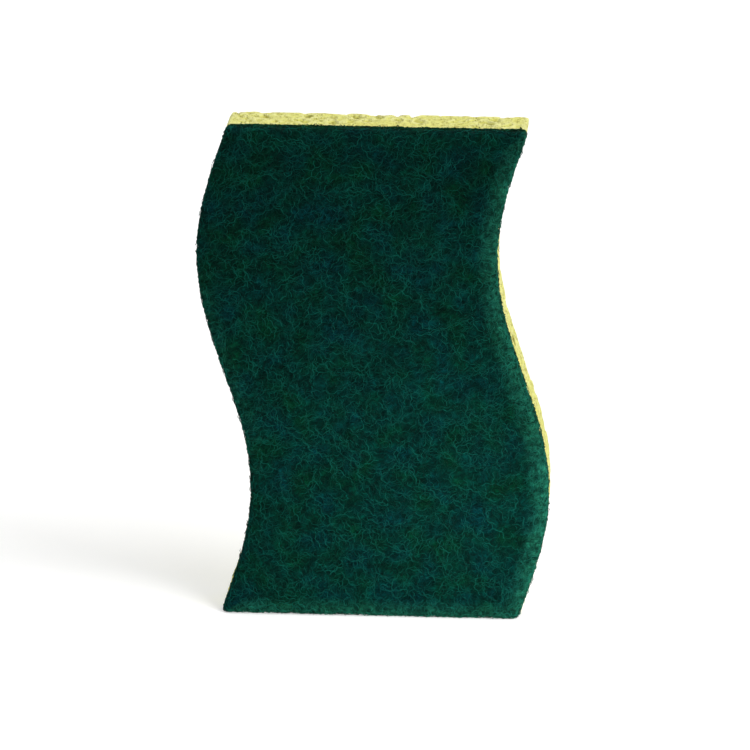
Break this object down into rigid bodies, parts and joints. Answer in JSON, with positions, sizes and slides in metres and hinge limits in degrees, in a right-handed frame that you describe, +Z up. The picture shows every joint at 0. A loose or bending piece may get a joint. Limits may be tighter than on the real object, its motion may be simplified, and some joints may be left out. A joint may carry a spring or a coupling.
{
  "type": "cleaning sponge",
  "caption": "Wave-cut cleaning sponge: a dark green nonwoven scrubbing pad laminated to a yellow cellulose block, standing on its cut end.",
  "frame": {"origin": "middle of the footprint of the lower cut end, on the surface that the sponge stands on", "axes": "+X across the width to the right as seen from the scrubbing face, +Y through the thickness from the scrubbing face to the wiping face, +Z up the length"},
  "size_m": [0.0794, 0.016, 0.115],
  "materials": {
    "green_nonwoven": "matte resin-bonded nonwoven fibre",
    "cured_glue": "thin cured film, dull",
    "yellow_cellulose": "matte open-cell cellulose foam"
  },
  "bodies": {
    "root": {"scrub_pad": "green_nonwoven", "glue_film": "cured_glue", "cellulose_block": "yellow_cellulose"}
  },
  "joints": []
}
